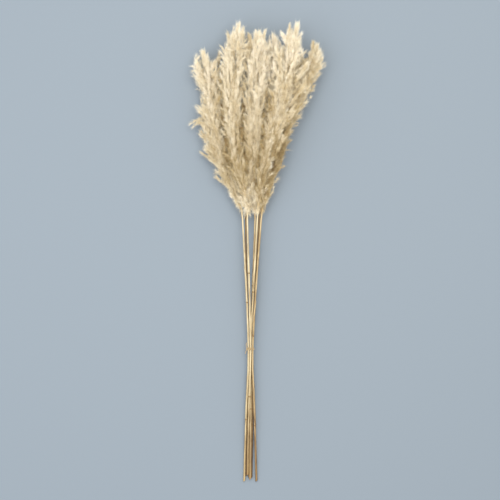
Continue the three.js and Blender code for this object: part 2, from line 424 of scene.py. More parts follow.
def tubes(paths: Array, radii: Array, sides: int, tint: Array, tilt: float = 0.0) -> Skin:
    """Round tubes along many paths at once, with ends closed by a fan.

    Each ring lies square to its path, on two axes that keep clear of the path's direction. A point is
    the path's point plus the radius times the cosine and sine of its turn along those two axes.

    Args:
        paths: (tubes, rings, 3) middle lines.
        radii: (tubes, rings) radius at each ring.
        sides: corners in a ring.
        tint: (tubes, rings) first number on the map.
        tilt: how far the first ring leans along the path, in radii, for a slanting cut.

    Returns:
        The tubes as triangles.
    """
    count, rings, _ = paths.shape
    ahead = unit(np.gradient(paths, axis=1))
    # The rings' axes start from Z, or from X for a tube that mostly runs along Z.
    mean = unit(ahead.mean(1, keepdims=True))
    spare = np.where(np.abs(mean[..., 2:]) > 0.8, [[[1.0, 0, 0]]], [[[0.0, 0, 1]]])
    across = square_to(np.broadcast_to(spare, ahead.shape), ahead)
    up = np.cross(ahead, across)
    turn = 2 * np.pi * np.arange(sides) / sides
    spoke = across[:, :, None] * np.cos(turn)[:, None] + up[:, :, None] * np.sin(turn)[:, None]
    body = paths[:, :, None] + radii[:, :, None, None] * spoke
    lean = ahead[:, 0] * radii[:, :1] * tilt
    body[:, 0] += lean[:, None] * (1 + np.sin(turn))[:, None]
    ends = paths[:, [0, -1]]
    ends[:, 0] += lean
    points = np.concatenate([body.reshape(-1, 3), ends.reshape(-1, 3)])

    tube, ring, side = np.indices((count, rings - 1, sides))
    here = (tube * rings + ring) * sides
    after = (side + 1) % sides
    quads = np.stack([here + side, here + after, here + sides + after, here + sides + side], -1)
    along = np.linspace(TUBE_FOOT, TUBE_TIP, rings)
    near, far = tint[tube, ring], tint[tube, ring + 1]
    left, right = side / sides, (side + 1) / sides
    low, high = along[ring], along[ring + 1]
    corners = ((near, left, low), (near, right, low), (far, right, high), (far, left, high))
    places = np.stack([np.stack([on_map(hue, turn), level], -1) for hue, turn, level in corners], -2)
    skin = Skin(points, quads.reshape(-1, 4), places.reshape(-1, 4, 2)).triangles()
    faces, places = tube_caps(count, rings, sides, tint)
    skin.faces = np.concatenate([skin.faces, faces])
    skin.places = np.concatenate([skin.places, places])
    return skin


def tube_caps(count: int, rings: int, sides: int, tint: Array) -> tuple[Array, Array]:
    """The fans that close the tubes: triangles from the middle of each end to its ring's sides.

    Args:
        count: how many tubes.
        rings: rings in a tube.
        sides: corners in a ring.
        tint: (tubes, rings) first number on the map.

    Returns:
        The faces and their places on the map.
    """
    tube, side = np.indices((count, sides))
    after = (side + 1) % sides
    first = tube * rings * sides
    last = first + (rings - 1) * sides
    hub = count * rings * sides + tube * 2
    start = np.stack([hub, first + after, first + side], -1)
    end = np.stack([hub + 1, last + side, last + after], -1)
    faces = np.concatenate([start.reshape(-1, 3), end.reshape(-1, 3)])
    hue = np.concatenate([tint[tube, 0].ravel(), tint[tube, -1].ravel()])
    level = np.repeat([TUBE_CAP, 1 - TUBE_CAP], count * sides)
    inward = level + np.where(level < 0.5, TUBE_CAP, -TUBE_CAP)
    left = np.concatenate([side.ravel(), side.ravel()]) / sides
    corners = ((left + 0.5 / sides, level), (left + 1 / sides, inward), (left, inward))
    return faces, np.stack([np.stack([on_map(hue, turn), up], -1) for turn, up in corners], 1)


def on_map(tint: Array, around: Array) -> Array:
    """The first number on the map: the way round the tube for AROUND, or else the tint.

    A tint keeps off the map's edges, and the way round widens it a little, so that no face is a line.
    """
    return np.where(tint == AROUND, around, np.clip(tint, 0.01, 0.98) + 0.006 * (around - 0.5))


def spikes(roots: Array, ahead: Array, side: Array, radius: Array, tint: Array) -> Skin:
    """Fine hairs, each a long thin closed spike with three sides that narrows to a point.

    The foot's three corners stand a radius from the root at thirds of a turn, and the point is one
    hair's length ahead.

    Args:
        roots: (hairs, 3) where each hair starts.
        ahead: (hairs, 3) from its root to its point.
        side: (hairs, 3) any direction across it, at length 1.
        radius: (hairs,) at the foot.
        tint: (hairs,) first number on the map.

    Returns:
        The hairs as triangles.
    """
    count = len(roots)
    across = square_to(side, unit(ahead))
    up = np.cross(unit(ahead), across)
    turn = 2 * np.pi * np.arange(3) / 3
    spoke = across[:, None] * np.cos(turn)[:, None] + up[:, None] * np.sin(turn)[:, None]
    foot = roots[:, None] + radius[:, None, None] * spoke
    points = np.concatenate([foot, (roots + ahead)[:, None]], 1).reshape(-1, 3)
    pattern = np.array([[0, 2, 1], [0, 1, 3], [1, 2, 3], [2, 0, 3]])
    faces = (4 * np.arange(count)[:, None, None] + pattern).reshape(-1, 3)
    # On the map a hair is a sliver with some width, so that no face is a line.
    width = np.array([-0.003, 0.0, 0.003, 0.0])
    level = np.array([0.02, 0.035, 0.02, 0.97])
    first = np.clip(tint, 0.01, 0.99)[:, None, None] + width[pattern]
    second = np.broadcast_to(level[pattern], first.shape)
    return Skin(points, faces, np.stack([first, second], -1).reshape(-1, 3, 2), smooth=False)


# ---- Stems ------------------------------------------------------------------------------------------


@dataclass(frozen=True)
class MiddleLine:
    """The middle line of a solid that runs along Y, read from its rings of corners."""

    levels: Array  # (rings,) Y of each ring
    middles: Array  # (rings, 2) X and Z
    radius: Array  # (rings,)

    @classmethod
    def of_node(cls, node: str) -> "MiddleLine":
        """Reads the line of one solid.

        Args:
            node: the solid's name.

        Returns:
            The line, from the solid's lowest Y to its highest.
        """
        rings, levels, middles = read_rings(node, least=8)
        radius = np.array([np.ptp(ring[:, 2]) / 2 for ring in rings])
        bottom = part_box(node)[0][1]
        slope = (middles[1] - middles[0]) / (levels[1] - levels[0])
        start = middles[0] + slope * (bottom - levels[0])
        return cls(
            np.concatenate([[bottom], levels]),
            np.concatenate([[start], middles]),
            np.concatenate([[radius[0]], radius]),
        )

    def at(self, level: Array) -> Array:
        """Points on the line at these values of Y, as (..., 3)."""
        x, z = (np.interp(level, self.levels, side) for side in self.middles.T)
        return np.stack([x, level, z], -1)


@dataclass
class Stem:
    """One cut stalk: a tapering straw with leaf joints, the clinging rest of a sheath and a cut end."""

    name: str
    seed: int
    sides: int = 24
    rings: int = 260
    joint_length: float = 3.0 * MM
    joint_band: float = 1.6 * MM  # half the width of its brown ring
    lip: float = 0.4 * MM
    waist: float = 0.14 * MM  # how much it is drawn in above a joint
    waist_at: float = 1.9  # how far above, in joint lengths
    wave: float = 0.035 * MM
    wave_lengths_mm: tuple[float, ...] = (9.0, 21.0, 47.0)
    cut_tilt: float = 0.55  # how far the cut end slants, in radii
    sheath_length: float = 95 * MM
    sheath_thickness: float = 0.12 * MM
    sheath_off: float = 0.16 * MM  # the rind
    sheath_lift: float = 0.55 * MM  # more than that, at its upper end
    line: MiddleLine = field(init=False)

    def __post_init__(self) -> None:
        """Reads the middle line of the solid."""
        self.line = MiddleLine.of_node(self.name)

    @property
    def joints(self) -> Array:
        """Where the leaf joints are: the rings whose radius stands above the ones beside them."""
        radius = self.line.radius
        beside = np.maximum(radius[:-2], radius[2:])
        return self.line.levels[1:-1][radius[1:-1] > beside + 0.1 * MM]

    def straw(self) -> Skin:
        """The straw.

        Its radius falls evenly from the cut end, waves a little along its length, swells to a lip at
        each joint and is drawn in just above it.
        """
        rng = np.random.default_rng(self.seed)
        # Evenly spaced levels, with twenty more round each joint.
        start, end = self.line.levels[0], self.line.levels[-1]
        spare = np.linspace(-1.6, 1.6, 20) * self.joint_length
        close = (self.joints[:, None] + spare).ravel()
        even = np.linspace(start, end, self.rings - close.size)
        level = np.sort(np.concatenate([even, close]))
        smooth = np.interp(level, self.line.levels[[0, -1]], self.line.radius[[1, -1]])
        waves = sum(
            np.sin(level / (size * MM) + rng.uniform(0, 2 * np.pi)) * self.wave
            for size in self.wave_lengths_mm
        )
        offset = (level[:, None] - self.joints) / self.joint_length
        lip = self.lip * np.exp(-(offset**2)).sum(1)
        waist = self.waist * np.exp(-((offset - self.waist_at) ** 2)).sum(1)
        radius = smooth + waves + lip - waist
        around = np.full((1, self.rings), AROUND)
        skin = tubes(self.line.at(level)[None], radius[None], self.sides, around, self.cut_tilt)
        # Each corner's place along the tube tells its ring, and so its Y.
        along = (skin.places[..., 1] - TUBE_FOOT) / (TUBE_TIP - TUBE_FOOT)
        corners = np.interp(along, np.linspace(0, 1, self.rings), level)
        skin.places[..., 1] = self.on_rind(corners)
        # The faces of a joint lie on the strip of the map above the rind.
        nearest = self.joints[np.abs(corners.mean(1)[:, None] - self.joints).argmin(1)]
        offset = corners - nearest[:, None]
        ring = np.abs(offset).max(1) < self.joint_band
        strip = (1 + RIND_TOP) / 2
        skin.places[ring, :, 1] = strip + 0.3 * (1 - strip) * offset[ring] / self.joint_band
        return skin

    def on_rind(self, level: Array) -> Array:
        """The second number on the map for these values of Y."""
        start, end = self.line.levels[0], self.line.levels[-1]
        return TUBE_FOOT + (RIND_TOP - TUBE_FOOT) * (level - start) / (end - start)

    def sheath(self, joint: float, away: Array) -> Skin:
        """What is left of a leaf's sheath: a papery half-pipe that clings above a joint.

        It is a sheet bent round the stem over a shrinking angle, a hair's breadth off the rind, that
        twists a little on the way up and lifts away at its torn upper end. An outer and an inner wall
        meet at the rim.

        Args:
            joint: the joint's Y.
            away: direction across the stem, as X and Z, that the sheath faces.

        Returns:
            The sheath as triangles.
        """
        rng = np.random.default_rng([self.seed, round(abs(joint) / MM)])
        rows, columns = 40, 13
        up = np.linspace(0, 1, rows)[:, None]
        side = np.linspace(-1, 1, columns)[None]
        length = self.sheath_length * rng.uniform(0.6, 1.2)
        # Half the angle that it covers, from 104 degrees at the joint to 4 at the torn end.
        half = np.radians(100) * (1 - up**2.5) ** 0.8 + np.radians(4)
        facing = np.arctan2(away[1], away[0]) + rng.uniform(-0.3, 0.3)
        turn = facing + half * side + 0.25 * up
        level = joint + self.joint_band + length * up + 0 * side
        middle = self.line.at(level)
        rind = np.interp(level, self.line.levels, self.line.radius)
        ruffle = 0.08 * MM * np.sin(9 * turn + 25 * up)
        lift = self.sheath_off + self.sheath_lift * smooth_step((up - 0.75) / 0.25) + ruffle * up
        out = np.stack([np.cos(turn), np.zeros_like(turn), np.sin(turn)], -1)
        inner = middle + (rind + lift)[..., None] * out
        outer = inner + self.sheath_thickness * out
        points = np.concatenate([outer.reshape(-1, 3), inner.reshape(-1, 3)])
        total = rows * columns
        grid = np.arange(total).reshape(rows, columns)
        sheet = np.stack([grid[:-1, :-1], grid[1:, :-1], grid[1:, 1:], grid[:-1, 1:]], -1).reshape(-1, 4)
        edge = np.concatenate([grid[0], grid[1:, -1], grid[-1, -2::-1], grid[-2:0:-1, 0]])
        ahead = np.roll(edge, -1)
        rim = np.stack([edge, ahead, ahead + total, edge + total], -1)
        faces = np.concatenate([sheet, (sheet + total)[:, ::-1], rim])
        # It lies on the map where the rind under it lies, held within the map's left and right edges.
        flat = np.stack([0.5 + 0.24 * side + 0 * up, self.on_rind(level)], -1).reshape(-1, 2)
        places = np.concatenate([flat, flat + 0.003])[faces]
        return Skin(points, faces, places).triangles()

    def build(self, finish: bpy.types.Material, middle: Array) -> bpy.types.Object:
        """Makes the stem.

        Args:
            finish: its material.
            middle: X and Z of the bundle's middle at the tie, which the sheaths face away from.

        Returns:
            The piece.
        """
        skin = self.straw()
        for joint in self.joints:
            here = self.line.at(np.array(joint))[[0, 2]]
            skin = skin.joined(self.sheath(float(joint), here - middle))
        piece = make_piece(self.name + "_straw", skin, finish)
        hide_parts(self.name)
        return piece


# ---- Plumes -----------------------------------------------------------------------------------------


@dataclass(frozen=True)
class Envelope:
    """The space that one plume fills, read from the sections of its solid."""

    levels: Array  # (sections,) Y
    middles: Array  # (sections, 2) X and Z
    reach: Array  # (sections, DIRECTIONS) from the middle to the side

    @classmethod
    def of_node(cls, node: str, margin: float) -> "Envelope":
        """Reads the sections of a solid.

        Args:
            node: the solid's name.
            margin: how far inside the solid's side the envelope stays, down to half the reach.

        Returns:
            The envelope.
        """
        rings, levels, middles = read_rings(node, least=12)
        wanted = np.linspace(-np.pi, np.pi, DIRECTIONS, endpoint=False)
        reach = []
        for ring, middle in zip(rings, middles):
            spoke = ring[:, [0, 2]] - middle
            length = np.hypot(*spoke.T)
            rim = length > 0.35 * length.max()  # leaves out corners near the middle of an end
            angle = np.arctan2(spoke[rim, 1], spoke[rim, 0])
            order = np.argsort(angle)
            whole = np.interp(wanted, angle[order], length[rim][order], period=2 * np.pi)
            reach.append(np.maximum(whole - margin, 0.5 * whole))
        return cls(levels, middles, np.array(reach))

    def bulged(self, bulges: tuple["Bulge", ...]) -> "Envelope":
        """The envelope with some sides pushed out.

        A bulge adds its depth times the square of the cosine of the angle to its direction, and fades
        in and out over its lowest and highest fifths.
        """
        reach = self.reach.copy()
        share = (self.levels - self.levels[0]) / self.length
        turn = np.linspace(-np.pi, np.pi, DIRECTIONS, endpoint=False)
        for bulge in bulges:
            place = (share - bulge.low) / (bulge.high - bulge.low)
            fade = smooth_step(place * 5) * smooth_step((1 - place) * 5)
            facing = np.maximum(np.cos(turn - np.radians(bulge.direction)), 0) ** 2
            reach += bulge.depth_mm * MM * fade[:, None] * facing
        return Envelope(self.levels, self.middles, reach)

    @property
    def length(self) -> float:
        """From the foot of the plume to its tip."""
        return float(self.levels[-1] - self.levels[0])

    def middle(self, level: Array) -> tuple[Array, Array]:
        """X and Z of the middle at these values of Y."""
        x, z = (np.interp(level, self.levels, side) for side in self.middles.T)
        return x, z

    def share(self, points: Array) -> Array:
        """How far up the plume points are, from 0 at the foot to 1 at the tip."""
        return (points[..., 1] - self.levels[0]) / self.length

    def outward(self, points: Array) -> Array:
        """The direction from the middle to each point, square to Y."""
        x, z = self.middle(points[..., 1])
        return unit(np.stack([points[..., 0] - x, np.zeros_like(x), points[..., 2] - z], -1))

    def reach_at(self, level: Array, turn: Array) -> Array:
        """How far the side is from the middle.

        Args:
            level: Y, held between the foot and the tip.
            turn: direction across the plume, in radians.

        Returns:
            The reach, read between sections and between directions by straight lines.
        """
        row = np.interp(level, self.levels, np.arange(len(self.levels)))
        low = np.minimum(row.astype(int), len(self.levels) - 2)
        part = row - low
        column = (turn + np.pi) / (2 * np.pi) * DIRECTIONS
        left = np.floor(column).astype(int)
        beside = column - left
        left, right = left % DIRECTIONS, (left + 1) % DIRECTIONS
        near = self.reach[low, left] * (1 - beside) + self.reach[low, right] * beside
        far = self.reach[low + 1, left] * (1 - beside) + self.reach[low + 1, right] * beside
        return near * (1 - part) + far * part

    def gap(self, points: Array) -> Array:
        """How far points lie outside the plume's side or past its ends, and under 0 inside it."""
        level = points[:, 1]
        x, z = self.middle(level)
        x, z = points[:, 0] - x, points[:, 2] - z
        side = np.hypot(x, z) - self.reach_at(level, np.arctan2(z, x))
        beyond = np.maximum(self.levels[0] - level, level - self.levels[-1])
        return np.maximum(side, beyond)

    def point(self, share: Array, turn: Array, out: Array) -> Array:
        """Places in the plume.

        A point is the middle of the section at that share of the length, plus the reach of the
        section in that direction times how far out it lies. Past the tip the middle runs on straight.

        Args:
            share: from 0 at the foot to 1 at the tip, and beyond.
            turn: direction across the plume.
            out: from 0 on the axis to 1 on the side.

        Returns:
            The points, as (..., 3).
        """
        level = self.levels[0] + share * self.length
        held = np.clip(level, self.levels[0], self.levels[-1])
        x, z = self.middle(held)
        slope = (self.middles[-1] - self.middles[-3]) / (self.levels[-1] - self.levels[-3])
        x = x + slope[0] * (level - held)
        z = z + slope[1] * (level - held)
        far_out = self.reach_at(held, turn) * out
        return np.stack([x + far_out * np.cos(turn), level, z + far_out * np.sin(turn)], -1)


class Carriage(Enum):
    """How a plume's upper branches carry themselves."""

    UPRIGHT = "upright"
    NODDING = "nodding"


@dataclass(frozen=True)
class Strands:
    """Branches of a plume: their middle lines and how pale what grows on them is."""

    paths: Array  # (strands, points, 3)
    tint: Array  # (strands,)

    @property
    def lengths(self) -> Array:
        """Each strand's length."""
        return np.linalg.norm(np.diff(self.paths, axis=1), axis=2).sum(1)

    def with_more(self, other: "Strands") -> "Strands":
        """These strands and others."""
        return Strands(
            np.concatenate([self.paths, other.paths]), np.concatenate([self.tint, other.tint])
        )

    def read(self, owner: Array, at: Array) -> tuple[Array, Array]:
        """Places on the strands.

        Args:
            owner: which strand, for each place.
            at: how far along it, from 0 to 1.

        Returns:
            The points, and the strand's direction at each.
        """
        place = np.clip(at, 0, 1) * (self.paths.shape[1] - 1)
        low = np.minimum(place.astype(int), self.paths.shape[1] - 2)
        near, far = self.paths[owner, low], self.paths[owner, low + 1]
        return near + (far - near) * (place - low)[:, None], unit(far - near)


@dataclass(frozen=True)
class Wisp:
    """A loose tuft that stands out from a plume's side, as chance leaves it.

    Directions across a plume are in degrees: 0 is to the right, 90 is up from the surface.
    """

    share: float  # how far up the plume it starts
    direction: float  # across the plume
    length_mm: float
    fork: float  # degrees from straight up the plume at which it leaves
    curl: float  # degrees that its tip turns on, outward and back down
    twigs: int = 5
    tint: float = 0.62


@dataclass(frozen=True)
class Bulge:
    """Where a plume stands out past its solid, towards a neighbour that it rests against."""

    low: float  # share of the length where it starts
    high: float  # and ends
    direction: float  # in degrees, as for a wisp
    depth_mm: float


@dataclass
class Plume:
    """One plume: an axis, its branches, the branchlets on them and the silky spikelets on those."""

    name: str
    seed: int
    carriage: Carriage = Carriage.UPRIGHT
    nod_mm: tuple[float, float, float] = (-1.0, -7.0, 0.0)  # how far nodding draws the very tip
    tone_and_shade: float = 0.0  # lighter above 0 and browner below: the plume's own tone, and on some plumes painted shade as well
    tip_paling: float = 0.5  # how much paler its tip is than its foot
    branches: int = 120
    branchlets: int = 6  # on each branch
    branchlet_mm: tuple[float, float] = (36.0, 13.0)  # length low on a branch, and how much less high
    branchlet_fork: tuple[float, float] = (20, 54)  # degrees from its branch, least and most
    branchlet_curl: tuple[float, float] = (5, 26)  # degrees, mean and spread
    foot_twigs: int = 60
    foot_mm: tuple[float, float] = (14, 30)  # their length, least and most
    foot_fork: tuple[float, float] = (15, 50)  # degrees, least and most
    hanging: float = 0.35  # share of them that hang back as a fringe
    crown_twigs: int = 14
    axis_radius: tuple[float, float] = (2.0 * MM, 0.5 * MM)  # at the foot and at the tip
    branch_radius: tuple[float, float] = (0.09 * MM, 0.5 * MM)  # least and most
    branch_tint: float = 0.61  # half-way up and three quarters of the way out to the side
    painted_depth_shade: float = 0.25  # painted shade: how much paler a branch at the side is than one at the axis, deep in the plume
    foot_tint: float = 0.68
    crown_tint: float = 0.76
    tint_spread: float = 0.06  # among branches, and among the branchlets of one
    tufts: int = 6900
    tuft_lean: tuple[float, float] = (8, 48)  # degrees from what bears it, least and most
    hairs_in_tuft: int = 4
    hair_length: float = 12.0 * MM
    hair_radius: float = 0.24 * MM
    hair_splay: float = 0.24  # spread of the directions in a tuft
    hair_spacing: float = 1.2 * MM  # spread of the roots in a tuft
    margin: float = 7 * MM  # between the branches and the solid's side, for the hairs
    points: int = 13  # along a branch or twig
    sway: float = 1.8 * MM  # of a branch to either side
    fringe: float = 9 * MM  # that hangs below the foot
    top: float = 0.98  # share of the length that its tallest branches reach
    crown: tuple[float, float] = (0.96, 0.995)  # and that the twigs at its tip reach
    wisps: tuple[Wisp, ...] = ()
    bulges: tuple[Bulge, ...] = ()
    blotch: float = 0.035  # strength of its pale and brown patches
    crowd_shade: float = 0.42  # painted shade: how much browner it is against a neighbour, where shade falls between plumes
    crowd_shade_reach: float = 7 * MM  # from the neighbour, over which that fades
    tip_crowd_shade: float = 1.0  # the share of that which is left at its tip
    envelope: Envelope = field(init=False)
    neighbours: list[Envelope] = field(init=False, default_factory=list)
    rng: np.random.Generator = field(init=False)

    def __post_init__(self) -> None:
        """Reads the solid and seeds the plume's own chance."""
        self.envelope = Envelope.of_node(self.name, self.margin).bulged(self.bulges)
        self.rng = np.random.default_rng(self.seed)

    def main_branches(self) -> Strands:
        """The branches that leave the axis.

        They start at steps up the axis, a golden turn apart. Each swings out quickly at first and then
        runs along inside the plume's side: how far out it lies is its final reach times one less a
        power of what is left of it. Slow waves take it a little to either side.
        """
        count, rng = self.branches, self.rng
        # They start a little more densely near the foot, and none in the top eighth.
        start = ((np.arange(count) + rng.uniform(0, 1, count)) / count) ** 1.15 * 0.88 - 0.01
        turn = GOLDEN_TURN * np.arange(count) + rng.normal(0, 0.3, count)
        # A branch at the foot runs up a third of the plume, and one near the tip a sixth.
        span = (0.34 - 0.2 * start) * rng.uniform(0.7, 1.2, count)
        # Fewer and fewer branches reach on towards the tip.
        span = np.minimum(span, self.top - 0.06 * np.abs(rng.normal(size=count)) - start)
        final = rng.uniform(0.3, 1.0, count) ** 0.55
        t = np.linspace(0, 1, self.points)
        share = start[:, None] + span[:, None] * (t - 0.06 * t**2)
        # The power falls from 4 at the foot, which it rounds off, to 1.8 a fifth of the way up.
        quick = 1.8 + 2.2 * (1 - np.clip(start[:, None] * 5, 0, 1))
        out = final[:, None] * (1 - (1 - t) ** quick)
        turns = turn[:, None] + rng.normal(0, 0.25, count)[:, None] * t
        paths = self.envelope.point(share, wrapped(turns), out)
        wave = rng.uniform(0, 2 * np.pi, (2, count, 1)) + t * rng.uniform(5, 10, (2, count, 1))
        paths[..., 0] += self.sway * t * np.sin(wave[0])
        paths[..., 2] += self.sway * t * np.sin(wave[1])
        # Paler towards the plume's tip and browner towards its foot; and, as painted shade deep in the
        # plume, paler towards its side and browner towards its axis.
        tip_pale = self.tip_paling * np.maximum(start + span - 0.5, -0.13)
        tint = self.branch_tint + tip_pale + self.painted_depth_shade * (final - 0.75)
        return Strands(self.settled(paths, t), tint + rng.normal(0, self.tint_spread, count))

    def settled(self, paths: Array, t: Array) -> Array:
        """Bends what lies in the plume's top three tenths the way the plume carries itself."""
        if self.carriage is Carriage.UPRIGHT:
            return paths
        high = self.envelope.share(paths)[..., None]
        pull = np.array(self.nod_mm) * MM
        return paths + pull * smooth_step((high - 0.7) / 0.3) * t[:, None] ** 2

    def grown(
        self,
        root: Array,
        ahead: Array,
        length: Array,
        fork: Array,
        curl: Array,
        side: Array,
        ease: float = 0.9,
    ) -> Array:
        """Paths of twigs that fork off, bend back alongside what bears them and curl at the tip.

        A twig's angle to the direction ahead starts at its fork, falls by its ease in proportion to the
        way along, gains its curl in proportion to the cube of it and wavers by a sixth of a radian. The
        path adds up the steps.

        Args:
            root: (twigs, 3) where each starts.
            ahead: (twigs, 3) the direction of what bears it.
            length: (twigs,) its length.
            fork: (twigs,) its first angle.
            curl: (twigs,) how far the tip turns.
            side: (twigs, 3) which way it leaves, square to ahead.
            ease: the share of the fork that it gives up on the way.

        Returns:
            The paths, as (twigs, points, 3).
        """
        t = np.linspace(0, 1, self.points)[None]
        angle = fork[:, None] * (1 - ease * t) + curl[:, None] * t**3
        angle = angle + 0.16 * t * np.sin(7 * t + 63 * fork[:, None])
        step = ahead[:, None] * np.cos(angle)[..., None] + side[:, None] * np.sin(angle)[..., None]
        step = step * (length / (self.points - 1))[:, None, None]
        return root[:, None] + np.cumsum(step, axis=1) - step[:, :1]

    def side_branches(self, main: Strands) -> Strands:
        """Branchlets that fork from the main branches on every side, most of them outward."""
        rng = self.rng
        owner = np.repeat(np.arange(len(main.paths)), self.branchlets)
        count = len(owner)
        at = rng.uniform(0.1, 0.97, count)
        root, ahead = main.read(owner, at)
        side = square_to(rng.normal(size=(count, 3)) + 0.5 * self.envelope.outward(root), ahead)
        # In the plume's top quarter they are shorter and lie closer to what bears them.
        slim = 1 - 0.6 * smooth_step((self.envelope.share(root) - 0.75) / 0.25)
        size, less = self.branchlet_mm
        length = (size - less * at) * MM * rng.uniform(0.6, 1.3, count) * (0.4 + 0.6 * slim)
        # Short of headroom, a branchlet is shorter, which draws the tip to a point.
        headroom = np.maximum(self.envelope.levels[-1] - 7 * MM - root[:, 1], 3 * MM)
        length = np.minimum(length, headroom * rng.uniform(0.5, 1.0, count))
        fork = np.radians(rng.uniform(*self.branchlet_fork, count)) * slim
        curl = np.radians(rng.normal(*self.branchlet_curl, count)) * slim
        paths = self.grown(root, ahead, length, fork, curl, side)
        return Strands(paths, main.tint[owner] + rng.normal(0, self.tint_spread, count))

    def foot_branches(self) -> Strands:
        """Short twigs that fill out the plume's foot. Some hang back past it, as a fringe."""
        rng, count = self.rng, self.foot_twigs
        share = rng.uniform(-0.005, 0.07, count)
        turn = rng.uniform(-np.pi, np.pi, count)
        root = self.envelope.point(share, turn, np.full(count, 0.4))
        ahead = np.tile(TOWARDS_TIP, (count, 1))
        side = self.envelope.outward(root)
        fork = np.radians(rng.uniform(*self.foot_fork, count))
        hang = rng.uniform(0, 1, count) < self.hanging
        fork = np.where(hang, np.radians(rng.uniform(160, 178, count)), fork)
        # At a fringe of 26 mm the hanging ones are as long as the others.
        length = np.where(hang, self.fringe / (26 * MM), 1.0) * rng.uniform(*self.foot_mm, count) * MM
        paths = self.grown(root, ahead, length, fork, 0 * fork, side, ease=0.05)
        return Strands(paths, self.foot_tint + rng.normal(0, 0.08, count))

    def crown_branches(self) -> Strands:
        """Twigs that run up beside the end of the axis and draw the tip to a point."""
        rng, count = self.rng, self.crown_twigs
        share = self.crown[0] - rng.uniform(0.03, 0.16, count)
        turn = rng.uniform(-np.pi, np.pi, count)
        root = self.envelope.point(share, turn, rng.uniform(0, 0.3, count))
        tip = self.envelope.point(rng.uniform(*self.crown, count), turn, rng.uniform(0, 0.3, count))
        ahead = unit(tip - root)
        length = np.linalg.norm(tip - root, axis=1)
        fork = rng.normal(0, 0.12, count)
        side = square_to(rng.normal(size=(count, 3)), ahead)
        paths = self.grown(root, ahead, length, fork, fork, side)
        return Strands(paths, self.crown_tint + rng.normal(0, 0.05, count))

    def wisp_branches(self) -> Strands:
        """The twigs of the plume's wisps."""
        rng = self.rng
        rows = [(w.share, w.direction, w.length_mm, w.fork, w.curl, w.tint) for w in self.wisps]
        twigs = np.repeat(np.array(rows), [wisp.twigs for wisp in self.wisps], axis=0)
        share, direction, length, fork, curl, tint = twigs.T
        angle, fork, curl = np.radians([direction, fork, curl])
        count = len(share)
        angle = angle + rng.normal(0, 0.12, count)
        share = share + rng.normal(0, 0.008, count)
        # They start three quarters of the way out to the side.
        root = self.envelope.point(share, wrapped(angle), np.full(count, 0.75))
        side = np.stack([np.cos(angle), np.zeros(count), np.sin(angle)], -1)
        ahead = np.tile(TOWARDS_TIP, (count, 1))
        fork = fork * rng.uniform(0.85, 1.15, count)
        curl = curl * rng.uniform(0.7, 1.3, count)
        length = length * MM * rng.uniform(0.6, 1.0, count)
        paths = self.grown(root, ahead, length, fork, curl, side, ease=0)
        return Strands(paths, tint + rng.normal(0, 0.05, count))

    def settled_flat(self, points: Array) -> Array:
        """Presses what would pass through the surface flat on it, and eases down the very top.

        Heights under 3 mm are squeezed into the space above 0: the height becomes 3 mm times e to the
        power of what it lacks, in units of 3 mm. Heights over 100 mm are squeezed under 112 mm alike.
        """
        knee, shoulder, room = 3 * MM, 100 * MM, 12 * MM
        z = points[..., 2]
        pressed = knee * np.exp(np.minimum(z - knee, 0) / knee)
        eased = shoulder + room * (1 - np.exp(-np.maximum(z - shoulder, 0) / room))
        z = np.where(z < knee, pressed, np.where(z > shoulder, eased, z))
        return np.concatenate([points[..., :2], z[..., None]], -1)

    def patches(self, points: Array) -> Array:
        """Paler and browner patches a few centimetres wide: the sum of six slow waves."""
        rng = np.random.default_rng([self.seed, 6])
        size = rng.uniform(14, 42, 6) * MM
        way = unit(rng.normal(size=(6, 3)) * [1, 0.55, 1])
        phase = rng.uniform(0, 2 * np.pi, 6)
        return self.blotch * np.sin(2 * np.pi * points @ (way / size[:, None]).T + phase).sum(1)

    def hair_skin(self, strands: Strands) -> Skin:
        """The hairs, in tufts as they stand round each spikelet.

        A strand bears tufts in proportion to its length. A tuft leans away from it, less towards the
        strand's tip and more often outward, and its hairs fan out from one place.
        """
        rng = self.rng
        share = strands.lengths / strands.lengths.sum()
        owner = rng.choice(len(share), self.tufts, p=share)
        at = rng.uniform(0.04, 1.0, self.tufts) ** 0.85
        root, ahead = strands.read(owner, at)
        side = square_to(rng.normal(size=(self.tufts, 3)) + 0.45 * self.envelope.outward(root), ahead)
        lean = np.radians(rng.uniform(*self.tuft_lean, self.tufts)) * (1.05 - 0.6 * at**2)
        way = ahead * np.cos(lean)[:, None] + side * np.sin(lean)[:, None]
        size = self.hair_length * rng.uniform(0.75, 1.15, self.tufts)
        tint = strands.tint[owner] + self.tone_and_shade + 0.1 * (at - 0.5)
        tint = tint + rng.normal(0, 0.045, self.tufts) + self.patches(root)
        # Painted shade: where plumes crowd one another, the hairs are browned to stand for the shade that
        # falls between them.
        near = np.min([other.gap(root) for other in self.neighbours], axis=0)
        # That sets in over the lowest third and may ease off again towards the tip.
        high = self.envelope.share(root)
        lifted = (1 - self.tip_crowd_shade) * smooth_step((high - 0.55) / 0.25)
        crowd_shade = self.crowd_shade * smooth_step(high / 0.35) * (1 - lifted)
        tint = tint - crowd_shade * np.exp(-np.maximum(near, 0) / self.crowd_shade_reach)

        each = self.hairs_in_tuft
        count = self.tufts * each
        splay = self.hair_splay * rng.normal(size=(count, 3))
        spread = unit(np.repeat(way, each, axis=0) + splay)
        length = np.repeat(size, each) * rng.uniform(0.55, 1.1, count)
        foot = np.repeat(root, each, axis=0) + self.hair_spacing * rng.normal(size=(count, 3))
        radius = self.hair_radius * rng.uniform(0.75, 1.2, count)
        tint = np.repeat(tint, each) + rng.normal(0, 0.05, count)
        across = square_to(rng.normal(size=(count, 3)), spread)
        skin = spikes(foot, spread * length[:, None], across, radius, tint)
        skin.points = self.settled_flat(skin.points)
        return skin

